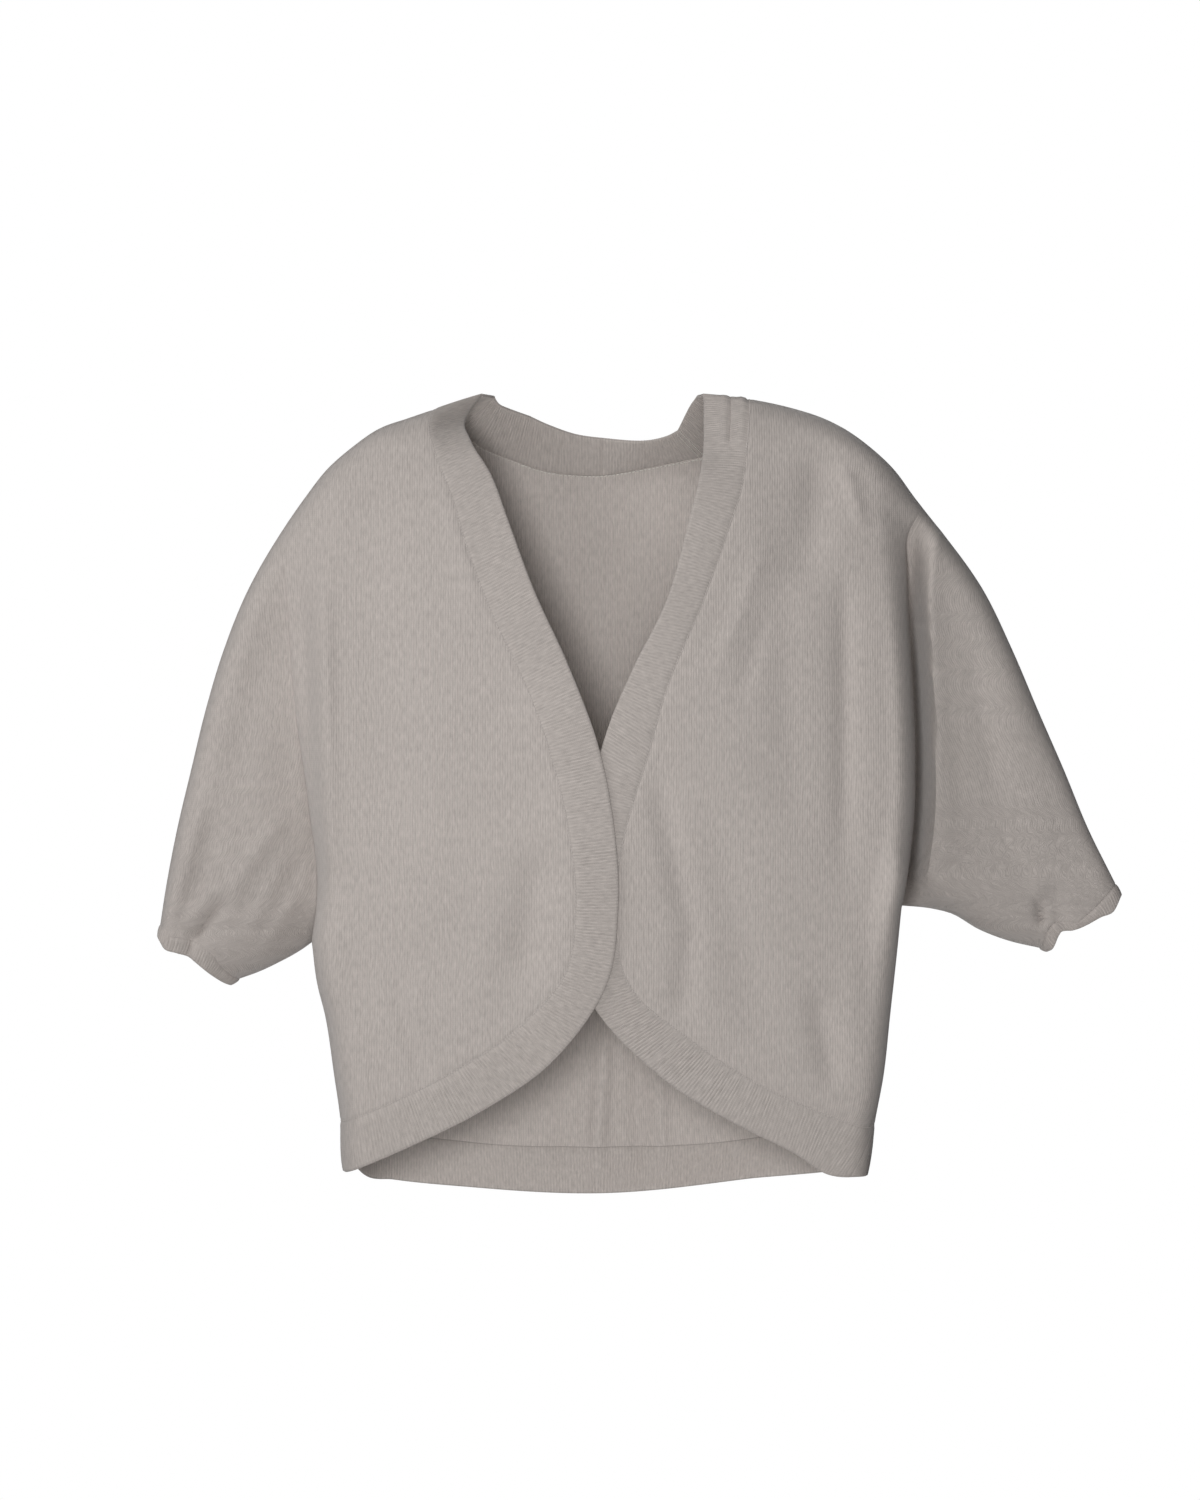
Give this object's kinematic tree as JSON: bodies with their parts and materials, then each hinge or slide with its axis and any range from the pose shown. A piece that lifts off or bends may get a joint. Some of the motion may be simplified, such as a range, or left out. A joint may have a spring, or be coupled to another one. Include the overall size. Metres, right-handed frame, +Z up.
{
  "type": "batwing cardigan",
  "caption": "Cropped batwing cardigan of fine knit, filled out as worn: open V neck, cutaway fronts, elbow sleeves and ribbed bands.",
  "frame": {"origin": "midway between the tops of the two shoulders at the neck, in the plane of the side seams, where the wearer's shoulders hold it up", "axes": "+X to the wearer's left, +Y to the back, +Z up along the body"},
  "size_m": [0.7469, 0.2198, 0.6347],
  "materials": {
    "jersey": "matt fine-gauge knit",
    "rib": "matt fine rib"
  },
  "bodies": {
    "root": {"back": "jersey", "front_left": "jersey", "front_right": "jersey", "band_left": "rib", "band_right": "rib", "neck_band": "rib", "hem_band": "rib", "cuff_left": "rib", "cuff_right": "rib"}
  },
  "joints": []
}
